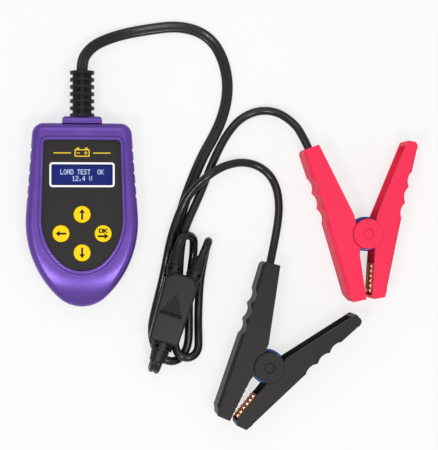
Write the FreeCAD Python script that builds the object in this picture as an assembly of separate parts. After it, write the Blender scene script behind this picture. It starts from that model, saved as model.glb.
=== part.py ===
import FreeCAD, Part
import math
import os

# Handheld battery tester with a twin cable, a junction box, two leads and two sprung clamps.
# Millimetres, +Z up. The tester lies on its back: the origin is the centre of its rear face.

V = FreeCAD.Vector
Z = V(0, 0, 1)
CENTRE = V(0, 0, 0)

# Tester case
case_half_width = 36.0
case_widest_y = -4.4
case_top_y = 59.0
case_bottom_y = -59.0
case_taper = 4.3
case_tip_radius = 22.0
case_corner_radius = 7.5
case_wall = 2.0
split_z = 12.0
crown_z = 23.4
rear_edge_radius = 4.0
front_edge_radius = 5.0
crown_margin = 1.6
chin_drop = 5.5
fit = 0.3

# Raised rim and the black overlay that lies inside it
rim_width = 2.4
rim_top_z = 25.0
rim_edge = 1.4
face_half_width = 26.0
face_widest_y = -3.0
face_top_y = 48.0
face_bottom_y = -36.0
face_taper = 1.8
face_tip_radius = 20.0
face_corner_radius = 2.6
recess_z = 22.6
overlay_thick = 0.6
face_plate = 1.8

# Grip grooves on both sides of the case
groove_count = 5
groove_first_y = 41.9
groove_pitch = 7.4
groove_radius = 1.2
groove_depth = 1.1
groove_from_z = 4.5
groove_to_z = 25.0

# Display
display_y = 25.7
display_width = 39.2
display_height = 13.4
window_margin = 2.2
panel_margin = 4.0
panel_thick = 2.4

# Keys and their switches
key_radius = 5.4
key_x = 13.4
key_y = 12.3
keys_centre_y = -11.9
key_proud = 0.5
key_dome = 0.5
key_flange = 1.2
flange_thick = 1.4
key_travel = 0.6
key_bottom_gap = 2.4
plunger_radius = 1.75
switch_size = 6.0
switch_height = 3.5

# Circuit board and what stands on it
board_z = 11.0
board_thick = 1.6
board_clear = 1.2
chip_size = 10.0
chip_thick = 1.6
resistor_length = 24.0
resistor_width = 9.0
resistor_height = 7.0
resistor_y = -14.0
capacitor_radius = 4.0
capacitor_height = 6.5
capacitor_x = 14.0
capacitor_y = 33.0
buzzer_radius = 6.0
buzzer_height = 5.0
buzzer_y = -36.0
core_radius = 0.9
core_spread = 3.0
core_gather = 0.8
core_rise = 1.5
core_run = 4.0
core_reach = 10.0

# Case screws and their posts
post_radius = 3.4
post_x = 25.0
post_upper_y = 44.0
post_lower_x = 24.5
post_lower_y = -24.0
screw_radius = 1.25
screw_clear = 0.1
screw_head_radius = 2.6
screw_head_thick = 1.8
screw_sunk = 0.8
screw_length = 15.0
cross_length = 3.2
cross_width = 0.7
cross_depth = 0.8

# Collar and ribbed strain relief
collar_width = 25.5
collar_length = 4.4
collar_height = 16.0
collar_edge = 2.6
cable_z = 13.0
relief_core_radius = 6.2
relief_rib_radius = 7.9
relief_length = 29.5
relief_ribs = 6
relief_rib_thick = 2.0
relief_root = 3.2
relief_flange = 1.5
relief_flange_radius = 6.9

# Twin cable and leads
twin_width = 7.3
twin_thick = 3.7
twin_roll = 17.8
lead_diameter = 5.5
inlet_run = 8.5
left_run = 9.5
right_run = 12.0
clamp_run = 11.0

# Junction box: its middle, and how far its axis leans from +Y
box_x = 58.7
box_y = -60.5
box_z = 17.0
box_lean = -17.0
box_length = 46.0
box_top_width = 22.4
box_bottom_width = 19.4
box_thick = 13.0
box_wall = 1.8
box_shoulder = 5.0
box_edge = 1.6
ring_length = 4.5
inlet_ring_radius = 7.0
inlet_radius = 6.0
inlet_end_radius = 5.2
inlet_length = 12.7
outlet_spread = 6.4
outlet_splay = 7.0
outlet_ring_radius = 5.3
outlet_radius = 4.8
outlet_end_radius = 3.6
outlet_length = 14.0
boot_root = 3.0
ring_slots = 6
ring_slot_radius = 1.2
ring_slot_floor = 0.6
neck_length = 0.7
neck_depth = 0.7
crimp_radius = 2.2
crimp_length = 14.0

# Clamps: the jaws point along -Y of the clamp, and its pivot is at the clamp's own origin
clamp_thick = 24.0
side_wall = 2.4
ear_gap = 0.3
disc_radius = 9.9
disc_line = 0.5
disc_line_depth = 0.4
inner_ear_radius = 8.0
neck_reach = 22.0
pin_radius = 3.35
pin_clear = 0.1
grip_chamfer = 2.0
scallops = 3
scallop_pitch = 10.7
scallop_depth = 1.9
scallop_radius = 7.0
grip_corner = 3.0
lead_hole_clear = 0.25
lead_inside = 8.0
pin_edge = 0.4
wire_diameter = 2.2
coil_radius = 10.2
coil_pitch = 2.75
coil_full_turns = 3
leg_one_angle = 117.0
leg_two_angle = 50.0
leg_one_length = 24.9
leg_two_length = 16.4
jaw_sheet = 1.0
jaw_channel = 14.0
jaw_teeth = 6
tooth_depth = 1.5
strap_width = 5.0
barrel_radius = 2.4
barrel_length = 9.0
strap_overlap = 2.0
fixed_jaw_top = -16.0
fixed_jaw_nose = -38.4
moving_jaw_top = -20.0
moving_jaw_nose = -38.6
clamps = (("red", V(185.9, -12.2, 0), 12.0), ("black", V(120.8, -99.0, 0), -23.5))

os.makedirs("parts", exist_ok=True)


def save(name, shape):
    shape.exportStep("parts/" + name + ".step")
    print(name, len(shape.Solids), round(shape.Volume, 1), shape.isValid())


def prism(points, low, high):
    ring = [V(x, y, low) for x, y in points]
    return Part.Face(Part.makePolygon(ring + ring[:1])).extrude(Z * (high - low))


def block(cx, cy, low, wide, deep, tall):
    return Part.makeBox(wide, deep, tall, V(cx - wide / 2, cy - deep / 2, low))


def rod(radius, start, end):
    return Part.makeCylinder(radius, (end - start).Length, start, end - start)


def arc_at(a, corner, b, reach):
    """A round corner: the arc that leaves a-corner and joins corner-b, reach from the corner."""
    start = corner + (a - corner).normalize() * reach
    end = corner + (b - corner).normalize() * reach
    chord = (start + end) * 0.5
    half = (end - start).Length / 2
    rise = half * math.tan(math.acos(half / reach) / 2)
    middle = chord + (corner - chord).normalize() * rise
    return start, Part.Arc(start, middle, end).toShape(), end


def rounded_path(points):
    """Straight runs joined by tangent arcs, each as large as its two runs allow."""
    share = 0.45
    edges = []
    radii = []
    last = points[0]
    for a, corner, b in zip(points, points[1:], points[2:]):
        reach = share * min((corner - a).Length, (b - corner).Length)
        turn = (corner - a).getAngle(b - corner)
        radii.append(reach / math.tan(turn / 2))
        start, arc, end = arc_at(a, corner, b, reach)
        edges.append(Part.LineSegment(last, start).toShape())
        edges.append(arc)
        last = end
    edges.append(Part.LineSegment(last, points[-1]).toShape())
    return Part.Wire(edges), radii


def swept(path, profile):
    tube = path.makePipeShell([profile], True, False)
    return Part.Solid(tube) if tube.ShapeType == "Shell" else tube


def round_profile(radius, start, along):
    return Part.Wire(Part.makeCircle(radius, start, along))


def tear_outline(half, widest_y, top, bottom, taper, tip, corner, inset, z):
    """A case outline: straight top, tapered sides, and a rounded lower end of two tangent arcs."""
    drop = widest_y - bottom - tip
    side = (half ** 2 + drop ** 2 - tip ** 2) / (2 * (half - tip))
    centre_x = half - side
    lean = math.radians(taper)
    across = V(math.cos(lean), math.sin(lean), 0)
    side_c = V(centre_x, widest_y, z)
    tip_c = V(0, bottom + tip, z)
    side_r = side - inset
    corner_r = max(corner - inset, 0.6)
    side_top = side_c + across * side_r
    side_mid = side_c + V(side_r, 0, 0)
    meet = side_c + (tip_c - side_c).normalize() * side_r
    half_way = side_c + (meet + side_mid - side_c * 2).normalize() * side_r
    corner_y = top - inset - corner_r
    corner_x = (across.dot(side_top - V(0, corner_y, z)) - corner_r) / across.x
    corner_c = V(corner_x, corner_y, z)
    corner_in = corner_c + across * corner_r
    corner_out = corner_c + V(0, corner_r, 0)
    corner_mid = corner_c + (across + V(0, 1, 0)).normalize() * corner_r
    low = V(0, bottom + inset, z)

    def other(p):
        return V(-p.x, p.y, p.z)

    edges = [
        Part.LineSegment(other(corner_out), corner_out),
        Part.Arc(corner_out, corner_mid, corner_in),
        Part.LineSegment(corner_in, side_top),
        Part.Arc(side_top, half_way, meet),
        Part.Arc(meet, low, other(meet)),
        Part.Arc(other(meet), other(half_way), other(side_top)),
        Part.LineSegment(other(side_top), other(corner_in)),
        Part.Arc(other(corner_in), other(corner_mid), other(corner_out)),
    ]
    return Part.Face(Part.Wire([e.toShape() for e in edges]))


def case_outline(inset, z):
    return tear_outline(case_half_width, case_widest_y, case_top_y, case_bottom_y, case_taper,
                        case_tip_radius, case_corner_radius, inset, z)


def face_outline(inset, z):
    return tear_outline(face_half_width, face_widest_y, face_top_y, face_bottom_y, face_taper,
                        face_tip_radius, face_corner_radius, inset, z)


def edges_at(shape, z, tolerance=0.01):
    level = [e for e in shape.Edges if abs(e.BoundBox.ZMin - z) < tolerance]
    return [e for e in level if e.BoundBox.ZLength < tolerance]


# Values that follow from the sizes above
roof_z = recess_z - face_plate
crown_half = face_half_width + rim_width + crown_margin
dome_y = face_bottom_y - rim_width - crown_margin + crown_half
overlay_top_z = recess_z + overlay_thick
board_top_z = board_z + board_thick
key_top_z = overlay_top_z + key_proud
key_flange_z = roof_z - fit - flange_thick
key_bottom_z = roof_z - key_bottom_gap
switch_top_z = board_top_z + switch_height
window_width = display_width + 2 * window_margin
window_height = display_height + 2 * window_margin
panel_top_z = roof_z
panel_z = panel_top_z - panel_thick
collar_end_y = case_top_y + collar_length
relief_end_y = collar_end_y + relief_length
right_posts = ((post_x, post_upper_y), (post_lower_x, post_lower_y))
posts = [(sign * x, y) for x, y in right_posts for sign in (1, -1)]
keys = {
    "up": (0, keys_centre_y + key_y),
    "down": (0, keys_centre_y - key_y),
    "left": (-key_x, keys_centre_y),
    "right": (key_x, keys_centre_y),
}


def chin_tools():
    """Everything above the front face, which is level round the rim and falls away in one arc beyond it.

    The arc runs straight along both sides and goes round the lower end."""
    run = dome_y - case_bottom_y - crown_half
    radius = (run ** 2 + chin_drop ** 2) / (2 * chin_drop)
    far = 4 * case_half_width
    angle = math.asin(run / radius) / 2
    start = V(crown_half, dome_y, crown_z)
    mid = start + V(math.sin(angle), 0, math.cos(angle) - 1) * radius
    end = start + V(run, 0, -chin_drop)
    past = start + V(far, 0, -chin_drop)
    above = start + V(far, 0, far)
    over = start + V(0, 0, far)
    edges = [Part.Arc(start, mid, end).toShape()]
    for a, b in ((end, past), (past, above), (above, over), (over, start)):
        edges.append(Part.LineSegment(a, b).toShape())
    section = Part.Face(Part.Wire(edges))
    right = section.extrude(V(0, far, 0))
    return [section.revolve(V(0, dome_y, 0), Z, -180), right, right.mirror(CENTRE, V(1, 0, 0))]


def front_edges(shape, inset):
    """The edges where the front face meets the wall of the case."""
    wall = case_outline(inset, split_z).OuterWire
    found = []
    for edge in shape.Edges:
        middle = edge.valueAt((edge.FirstParameter + edge.LastParameter) / 2)
        foot = Part.Vertex(middle.x, middle.y, split_z)
        if edge.BoundBox.ZMin > split_z + 0.1 and foot.distToShape(wall)[0] < 0.01:
            found.append(edge)
    return found


def grooves():
    lean = math.radians(case_taper)
    shapes = []
    for i in range(groove_count):
        y = groove_first_y - i * groove_pitch
        x = case_half_width - (y - case_widest_y) * math.tan(lean)
        for sign in (1, -1):
            middle = V(sign * (x + groove_radius - groove_depth), y, groove_from_z)
            shapes.append(Part.makeCylinder(groove_radius, groove_to_z - groove_from_z, middle))
    return shapes


def collar():
    """The neck that the strain relief comes out of, made whole and then split with the case."""
    low = cable_z - collar_height / 2
    neck = block(0, case_top_y + collar_length / 2, low, collar_width, collar_length, collar_height)
    outer = [e for e in neck.Edges if e.BoundBox.YMin > collar_end_y - 0.01]
    return neck.makeFillet(collar_edge, outer)


def relief_passage():
    inner = V(0, case_top_y - 2 * case_wall, cable_z)
    return rod(relief_core_radius, inner, V(0, collar_end_y + 1, cable_z))


def front_shell():
    body = case_outline(0, split_z).extrude(Z * (crown_z - split_z))
    body = body.cut(chin_tools())
    body = body.makeFillet(front_edge_radius, front_edges(body, 0))
    rim = face_outline(-rim_width, crown_z - 4).extrude(Z * (rim_top_z - crown_z + 4))
    rim = rim.makeFillet(rim_edge, edges_at(rim, rim_top_z))
    upper = block(0, case_top_y, split_z, 4 * case_half_width, 4 * collar_width, 2 * collar_height)
    body = body.fuse([rim, collar().common(upper)])
    inside = case_outline(case_wall, split_z).extrude(Z * (roof_z - split_z))
    inside = inside.cut([tool.translated(Z * (roof_z - crown_z)) for tool in chin_tools()])
    inside = inside.makeFillet(front_edge_radius - case_wall, front_edges(inside, case_wall))
    body = body.cut([inside, face_outline(0, recess_z).extrude(Z * 10)] + grooves())
    for x, y in posts:
        body = body.fuse(Part.makeCylinder(post_radius, recess_z - board_top_z - 0.5, V(x, y, board_top_z)))
    for x, y in posts:
        depth = screw_sunk + screw_head_thick + screw_length + 1 - board_top_z
        body = body.cut(Part.makeCylinder(screw_radius + screw_clear, depth, V(x, y, board_top_z)))
    window = block(0, display_y, roof_z - 1, window_width + fit, window_height + fit, 5)
    holes = [Part.makeCylinder(key_radius + fit, 6, V(x, y, roof_z - 1)) for x, y in keys.values()]
    return body.cut([window, relief_passage()] + holes)


def rear_shell():
    body = case_outline(0, 0).extrude(Z * split_z)
    body = body.makeFillet(rear_edge_radius, edges_at(body, 0))
    lower = block(0, case_top_y, 0, 4 * case_half_width, 4 * collar_width, split_z)
    body = body.fuse(collar().common(lower))
    inside = case_outline(case_wall, case_wall).extrude(Z * split_z)
    inside = inside.makeFillet(rear_edge_radius - case_wall, edges_at(inside, case_wall))
    body = body.cut([inside] + grooves())
    for x, y in posts:
        body = body.fuse(Part.makeCylinder(post_radius, board_z - case_wall / 2, V(x, y, case_wall / 2)))
    for x, y in posts:
        head = Part.makeCylinder(screw_head_radius + screw_clear, screw_sunk + screw_head_thick, V(x, y, 0))
        shank = Part.makeCylinder(screw_radius + screw_clear, board_z + 1, V(x, y, 0))
        body = body.cut([head, shank])
    return body.cut(relief_passage())


def face_overlay():
    plate = face_outline(fit / 2, recess_z).extrude(Z * overlay_thick)
    holes = [Part.makeCylinder(key_radius + fit, 4, V(x, y, recess_z - 1)) for x, y in keys.values()]
    return plate.cut(holes + [block(0, display_y, recess_z - 1, display_width, display_height, 4)])


def key(x, y):
    cap = Part.makeCylinder(key_radius, key_top_z - key_bottom_z, V(x, y, key_bottom_z))
    cap = cap.makeFillet(key_dome, edges_at(cap, key_top_z))
    return cap.fuse(Part.makeCylinder(key_radius + key_flange, flange_thick, V(x, y, key_flange_z)))


def plunger(x, y):
    low = switch_top_z - key_travel - fit
    return Part.makeCylinder(plunger_radius, key_bottom_z - low, V(x, y, low))


def switch_cases():
    cases = []
    for x, y in keys.values():
        case = block(x, y, board_top_z, switch_size, switch_size, switch_height)
        well_z = switch_top_z - 2 * key_travel - 2 * fit
        cases.append(case.cut(Part.makeCylinder(plunger_radius + fit / 2, 4, V(x, y, well_z))))
    return Part.makeCompound(cases)


def circuit_board():
    board = case_outline(case_wall + board_clear, board_z).extrude(Z * board_thick)
    cuts = [Part.makeCylinder(screw_radius + fit, 4, V(x, y, board_z - 1)) for x, y in posts]
    notch_depth = 2 * (relief_root + relief_flange)
    cuts.append(block(0, case_top_y, board_z - 1, 2 * relief_flange_radius + 2, notch_depth, 4))
    return board.cut(cuts)


def case_screws():
    screws = []
    for x, y in posts:
        head = Part.makeCylinder(screw_head_radius, screw_head_thick, V(x, y, screw_sunk))
        cross = [
            block(x, y, screw_sunk, cross_length, cross_width, cross_depth),
            block(x, y, screw_sunk, cross_width, cross_length, cross_depth),
        ]
        shank = Part.makeCylinder(screw_radius, screw_length, V(x, y, screw_sunk + screw_head_thick))
        screws.append(head.cut(cross).fuse(shank))
    return Part.makeCompound(screws)


def inner_leads():
    """Four cores from the strain relief to their solder points on the board."""
    cores = []
    for i in range(4):
        x = (i - 1.5) * core_spread
        start = V(x * core_gather, case_top_y - relief_root - relief_flange, cable_z + core_rise)
        above = V(x, start.y - core_reach, start.z + core_rise)
        points = [start, start - V(0, core_run, 0), above, V(above.x, above.y, board_top_z)]
        path = rounded_path(points)[0]
        cores.append(swept(path, round_profile(core_radius, start, V(0, 1, 0))))
    return Part.makeCompound(cores)


def strain_relief():
    """A moulded boot with ribs, a flange behind the collar, and flexing slots beside a central web."""
    root_y = case_top_y - relief_root
    body = rod(relief_core_radius, V(0, root_y, cable_z), V(0, relief_end_y, cable_z))
    flange = rod(relief_flange_radius, V(0, root_y - relief_flange, cable_z), V(0, root_y, cable_z))
    gap = (relief_length - relief_rib_thick) / relief_ribs
    slot_x = relief_core_radius * 0.6
    slot_z = cable_z + twin_thick / 2 + 1
    slot_width = relief_core_radius * 0.75
    slot_run = gap - relief_rib_thick
    ribs = []
    slots = []
    for i in range(relief_ribs + 1):
        y = collar_end_y + i * gap
        ribs.append(rod(relief_rib_radius, V(0, y, cable_z), V(0, y + relief_rib_thick, cable_z)))
        if i < relief_ribs:
            for sign in (1, -1):
                middle = y + (gap + relief_rib_thick) / 2
                slot = block(sign * slot_x, middle, slot_z, slot_width, slot_run, relief_core_radius)
                slots.append(slot)
    return body.fuse([flange] + ribs).cut(slots)


# Junction box, in its own frame: the axis is local +Y, the middle is the origin
box_place = FreeCAD.Placement(V(box_x, box_y, 0), FreeCAD.Rotation(Z, box_lean))


def box_plan(inset):
    top = box_top_width / 2 - inset
    low = box_bottom_width / 2 - inset
    end = box_length / 2 - inset
    shoulder = box_shoulder - inset * 0.4
    right = [(low, -end), (top, end - shoulder), (top - shoulder, end)]
    return right + [(-x, y) for x, y in reversed(right)]


def boot(start, along, ring, radius, end_radius, length):
    """A boot: a root inside the box, a slotted ring, a neck, and a sleeve that the cable comes out of."""
    body = rod(radius, start - along * boot_root, start + along * ring_length)
    body = body.fuse(rod(ring, start + along * fit, start + along * ring_length))
    rest = length - ring_length
    body = body.fuse(Part.makeCone(radius, end_radius, rest, start + along * ring_length, along))
    neck = (start + along * ring_length, start + along * (ring_length + neck_length))
    slots = [rod(2 * ring, *neck).cut(rod(radius - neck_depth, *neck))]
    floor = Z * (radius * ring_slot_floor)
    for i in range(ring_slots):
        slot = Part.makeCylinder(ring_slot_radius, ring, start + along * (ring_length / 2) + floor, Z)
        slot.rotate(start, along, 360.0 * (i + 0.5) / ring_slots)
        slots.append(slot)
    return body.cut(slots)


inlet_start = V(0, -box_length / 2, box_z)
inlet_along = V(0, -1, 0)
splay = math.radians(outlet_splay)
outlets = {
    "left": (V(-outlet_spread, box_length / 2, box_z), V(-math.sin(splay), math.cos(splay), 0)),
    "right": (V(outlet_spread, box_length / 2, box_z), V(math.sin(splay), math.cos(splay), 0)),
}


def boot_bores():
    bores = [rod(inlet_radius, inlet_start - inlet_along * 2 * box_wall, inlet_start + inlet_along * 2)]
    for start, along in outlets.values():
        bores.append(rod(outlet_radius, start - along * (box_shoulder + box_wall), start + along * 2))
    return bores


def box_half(low, high, floor_low, floor_high):
    half = prism(box_plan(0), low, high)
    half = half.makeFillet(box_edge, edges_at(half, high if high > box_z else low))
    return half.cut([prism(box_plan(box_wall), floor_low, floor_high)] + boot_bores())


def junction_crimps():
    reach = box_length / 2 - boot_root
    crimps = []
    for start, along in outlets.values():
        top = start - along * boot_root
        crimps.append(rod(crimp_radius, top - along * crimp_length, top))
    low = V(0, -reach, box_z)
    crimps.append(rod(crimp_radius, low, low + V(0, crimp_length / 2, 0)))
    return Part.makeCompound(crimps)


# One clamp, in its own frame: the pivot is the origin and z runs from 0 to the clamp's thickness
fixed_plan = [(-31.0, 62.0), (-20.0, 63.6), (-6.8, 14.1), (-6.8, -6.0), (-8.6, -12.4), (-10.2, -41.5),
              (-18.6, -41.5), (-21.5, -36.0), (-25.5, 14.0)]
fixed_hollow = [(-26.6, 58.0), (10.0, 60.0), (10.0, -39.0), (-17.0, -39.0), (-18.9, -35.5), (-21.0, 14.0)]
moving_plan = [(38.5, 54.2), (44.3, 52.0), (43.4, 47.6), (24.0, 6.0), (17.8, -7.9), (4.6, -37.9),
               (2.0, -42.7), (-5.1, -42.4), (-6.0, -39.7), (-1.1, -22.1), (1.5, -13.3), (7.7, 9.7)]
moving_hollow = [(36.5, 51.8), (39.4, 48.6), (19.9, 6.6), (15.0, -6.6), (1.9, -36.4), (0.5, -40.0),
                 (-20.0, -40.0), (-20.0, 51.0)]
fixed_back = [(-31.0, 62.0), (-25.5, 14.0), (-21.5, -36.0)]
moving_back = [(43.4, 47.6), (24.0, 6.0), (17.8, -7.9), (4.6, -37.9)]
lead_entry = V(-25.2, 62.8, clamp_thick / 2)
lead_axis = V(-0.2, 0.98, 0).normalize()
fixed_scallops = ((-28.3, 38.5), (-25.9, 17.2))
moving_scallops = ((34.9, 29.4), (26.0, 10.4))
fixed_corner = fixed_plan[0]
moving_corner = moving_plan[1]


def bevelled(plan, back, corner):
    """An extruded grip with one round corner and a back whose edges are cut by wedges along its points."""
    body = prism(plan, 0, clamp_thick)
    upright = [e for e in body.Edges if e.BoundBox.ZLength > clamp_thick / 2]
    round_edges = [e for e in upright if (e.CenterOfMass - V(*corner, clamp_thick / 2)).Length < fit]
    body = body.makeFillet(grip_corner, round_edges)
    spare = 0.5
    deep = grip_chamfer + spare
    wedges = []
    for a, b in zip(back, back[1:]):
        run = V(b[0] - a[0], b[1] - a[1], 0)
        out = V(run.y, -run.x, 0).normalize()
        out = out if out.x * a[0] > 0 else out * -1
        start = V(a[0], a[1], 0)
        for level, up in ((clamp_thick, Z), (0, Z * -1)):
            corner = start + Z * level
            low = corner + out * spare - up * deep
            high = corner - out * deep + up * spare
            ring = [low, high, corner + (out + up) * spare]
            wedges.append(Part.Face(Part.makePolygon(ring + ring[:1])).extrude(run))
    return body.cut(wedges)


def scallop_cuts(ends):
    first, last = V(*ends[0], 0), V(*ends[1], 0)
    run = (last - first).normalize()
    out = V(run.y, -run.x, 0)
    out = out if out.dot(first) > 0 else out * -1
    first = first + out * (scallop_radius - scallop_depth)
    middles = [first + run * (i * scallop_pitch) for i in range(scallops)]
    return [Part.makeCylinder(scallop_radius, clamp_thick, middle) for middle in middles]


def fixed_grip():
    body = bevelled(fixed_plan, fixed_back, fixed_corner).cut(scallop_cuts(fixed_scallops))
    body = body.cut(prism(fixed_hollow, side_wall, clamp_thick - side_wall))
    room = disc_radius + 2 * fit
    deep = side_wall + ear_gap
    rooms = [Part.makeCylinder(room, deep, Z * low) for low in (0, clamp_thick - deep)]
    body = body.cut(rooms)
    for low in (deep, clamp_thick - deep - side_wall):
        neck = block(-neck_reach / 2, 0, low, neck_reach, 2 * inner_ear_radius, side_wall)
        body = body.fuse([neck, Part.makeCylinder(inner_ear_radius, side_wall, Z * low)])
    bore = Part.makeCylinder(pin_radius + pin_clear, clamp_thick, CENTRE)
    inner = lead_entry - lead_axis * lead_inside
    hole = rod(lead_diameter / 2 + lead_hole_clear, inner, lead_entry + lead_axis * side_wall)
    return body.cut([bore, hole])


def moving_grip():
    body = bevelled(moving_plan, moving_back, moving_corner).cut(scallop_cuts(moving_scallops))
    for low in (0, clamp_thick - side_wall):
        body = body.fuse(Part.makeCylinder(disc_radius, side_wall, Z * low))
    body = body.cut(prism(moving_hollow, side_wall, clamp_thick - side_wall))
    cuts = [Part.makeCylinder(pin_radius + pin_clear, clamp_thick, CENTRE)]
    for low in (0, clamp_thick - disc_line_depth):
        line = Part.makeCylinder(disc_radius, disc_line_depth, Z * low)
        cuts.append(line.cut(Part.makeCylinder(disc_radius - disc_line, disc_line_depth, Z * low)))
    return body.cut(cuts)


def pivot_pin():
    pin = Part.makeCylinder(pin_radius, clamp_thick - 2 * fit, Z * fit)
    return pin.makeChamfer(pin_edge, edges_at(pin, clamp_thick - fit))


def toothed_plan(first, last, back):
    """A jaw's side plate: saw teeth from first to last, closed by its back points."""
    run = last - first
    out = V(run.y, -run.x, 0).normalize()
    out = out if (back[0] - first).dot(out) < 0 else out * -1
    plan = []
    for i in range(jaw_teeth):
        foot = first + run * (i / jaw_teeth)
        crest = first + run * ((i + 0.5) / jaw_teeth) + out * tooth_depth
        plan += [(foot.x, foot.y), (crest.x, crest.y)]
    return plan + [(last.x, last.y)] + [(p.x, p.y) for p in back]


def jaw(first, last, back, spine):
    """A folded copper jaw: two toothed side plates and the back that joins them."""
    low = (clamp_thick - jaw_channel) / 2
    high = clamp_thick - low
    plan = toothed_plan(first, last, back)
    plates = [prism(plan, low, low + jaw_sheet), prism(plan, high - jaw_sheet, high)]
    return plates[0].fuse([plates[1], prism(spine, low, high)])


def strip(points, thick):
    """The plan of a bent strip: the points, and the same points moved by its thickness in +X."""
    return points + [(x + thick, y) for x, y in reversed(points)]


def wall_at(a, b, y):
    """The point at height y on the line from a to b, so that a jaw lies against its grip's inner wall."""
    share = (y - a[1]) / (b[1] - a[1])
    return V(a[0] + (b[0] - a[0]) * share, y, 0)


def fixed_jaw():
    tip, foot, knee = fixed_hollow[3:6]
    top = wall_at(foot, knee, fixed_jaw_top)
    low = wall_at(foot, knee, foot[1])
    nose = wall_at(tip, foot, fixed_jaw_nose)
    spine = strip([(low.x, low.y), (top.x, top.y)], jaw_sheet)
    body = jaw(V(-10.3, -38.0, 0), V(-9.2, -17.0, 0), [top, low, nose], spine)
    barrel_top = lead_entry - lead_axis * lead_inside
    barrel_low = barrel_top - lead_axis * barrel_length
    middle = clamp_thick / 2
    bend = wall_at(foot, knee, inner_ear_radius)
    over = (barrel_low.x - jaw_sheet / 2, barrel_low.y + strap_overlap)
    foot_on = wall_at(foot, knee, fixed_jaw_top - strap_overlap)
    course = [(foot_on.x, foot_on.y), (bend.x, bend.y), over]
    strap = prism(strip(course, jaw_sheet), middle - strap_width / 2, middle + strap_width / 2)
    return body.fuse([strap, rod(barrel_radius, barrel_low, barrel_top)])


def moving_jaw():
    knee, tip, end = moving_hollow[3:6]
    top = wall_at(knee, tip, moving_jaw_top)
    low = wall_at(knee, tip, tip[1])
    nose = wall_at(tip, end, moving_jaw_nose)
    spine = strip([(low.x - jaw_sheet, low.y), (top.x - jaw_sheet, top.y)], jaw_sheet)
    return jaw(V(-5.7, -38.4, 0), V(-0.6, -20.0, 0), [top, low, nose], spine)


def helix_edges(start_angle, turns_angle, low):
    """A coil as arcs: two arcs that share a tangent for each eighth of a turn, more or less."""
    steps = math.ceil(turns_angle / 90.0)
    rise = coil_pitch / 360.0

    def spot(a):
        r = math.radians(a)
        return V(coil_radius * math.cos(r), coil_radius * math.sin(r), low + rise * (a - start_angle))

    def heading(a):
        r = math.radians(a)
        slope = coil_pitch / (2 * math.pi)
        return V(-coil_radius * math.sin(r), coil_radius * math.cos(r), slope).normalize()

    edges = []
    for i in range(steps):
        a = start_angle + turns_angle * i / steps
        b = start_angle + turns_angle * (i + 1) / steps
        p, q, s, t = spot(a), spot(b), heading(a), heading(b)
        v = q - p
        k = 2 * (1 - s.dot(t))
        along = v.dot(s + t)
        d = (math.sqrt(along ** 2 + k * v.dot(v)) - along) / k
        one, two = p + s * d, q - t * d
        join = (one + two) * 0.5
        edges.append(arc_at(p, one, join, d)[1])
        edges.append(arc_at(join, two, q, d)[1])
    return edges, spot, heading


def clamp_spring():
    """A torsion spring round the pin: one leg on each grip's back."""
    first = leg_one_angle + 90
    sweep = (leg_two_angle - 90 - first) % 360 + 360 * coil_full_turns
    low = clamp_thick / 2 - coil_pitch * sweep / 720
    edges, spot, heading = helix_edges(first, sweep, low)
    start = spot(first) - heading(first) * leg_one_length
    end = spot(first + sweep) + heading(first + sweep) * leg_two_length
    edges.insert(0, Part.LineSegment(start, spot(first)).toShape())
    edges.append(Part.LineSegment(spot(first + sweep), end).toShape())
    marks = [spot(first + a) for a in range(0, int(sweep), 10)]
    gap = min((p - q).Length for i, p in enumerate(marks) for q in marks[i + 18:]) - wire_diameter
    print("spring gap to itself", round(gap, 2))
    return swept(Part.Wire(edges), round_profile(wire_diameter / 2, start, heading(first)))


# Routes of the cable and the leads. The ends come from the pieces that hold them.
def in_box(point):
    return box_place.multVec(point)


def clamp_place(where, turn):
    return FreeCAD.Placement(where, FreeCAD.Rotation(Z, turn))


clamp_places = {name: clamp_place(where, turn) for name, where, turn in clamps}
inlet_end = in_box(inlet_start + inlet_along * inlet_length)
left_end = in_box(outlets["left"][0] + outlets["left"][1] * outlet_length)
right_end = in_box(outlets["right"][0] + outlets["right"][1] * outlet_length)
left_out = in_box(outlets["left"][0] + outlets["left"][1] * (outlet_length + left_run))
right_out = in_box(outlets["right"][0] + outlets["right"][1] * (outlet_length + right_run))
inlet_out = in_box(inlet_start + inlet_along * (inlet_length + inlet_run))

main_middle = [
    (0.0, 99.6, 13.0), (3.6, 106.2, 10.6), (9.4, 111.4, 8.0), (18.0, 115.6, 5.2), (29.0, 119.2, 3.2),
    (45.0, 122.4, 2.2), (62.0, 124.6, 2.1), (76.5, 121.6, 2.1), (86.4, 114.4, 2.1), (92.2, 104.0, 2.1),
    (95.0, 93.6, 2.1), (95.8, 83.4, 2.1), (94.4, 72.4, 2.1), (91.0, 61.4, 2.1), (86.0, 51.0, 2.1),
    (80.4, 41.4, 2.1), (75.2, 30.0, 2.1), (70.0, 17.0, 2.1), (65.4, 3.6, 2.1), (62.8, -9.8, 2.1),
    (61.6, -24.0, 2.1), (61.4, -39.4, 2.1), (59.0, -55.8, 2.1), (55.8, -72.0, 2.1), (52.2, -84.6, 2.1),
    (49.2, -93.4, 2.1),
]
red_middle = [
    (82.4, -17.4, 3.0), (79.6, -29.8, 3.0), (77.2, -44.0, 3.0), (76.4, -58.0, 3.0), (76.1, -70.0, 3.0),
    (76.2, -79.4, 4.4), (76.0, -88.4, 7.2), (71.6, -93.0, 9.5), (65.4, -93.2, 9.5), (60.9, -88.8, 8.0),
    (60.4, -80.8, 7.2), (61.0, -71.0, 7.2), (62.2, -56.0, 7.2), (63.2, -40.0, 7.2), (63.9, -25.0, 7.2),
    (65.8, -12.6, 7.2), (70.0, -1.6, 7.2), (75.2, 9.6, 6.8), (79.8, 20.4, 5.2), (84.2, 31.4, 3.2),
    (89.2, 42.6, 3.0), (95.8, 54.6, 3.0), (104.2, 64.2, 3.0), (115.6, 69.4, 3.8), (127.2, 68.6, 6.6),
    (136.6, 62.6, 10.0),
]
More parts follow.
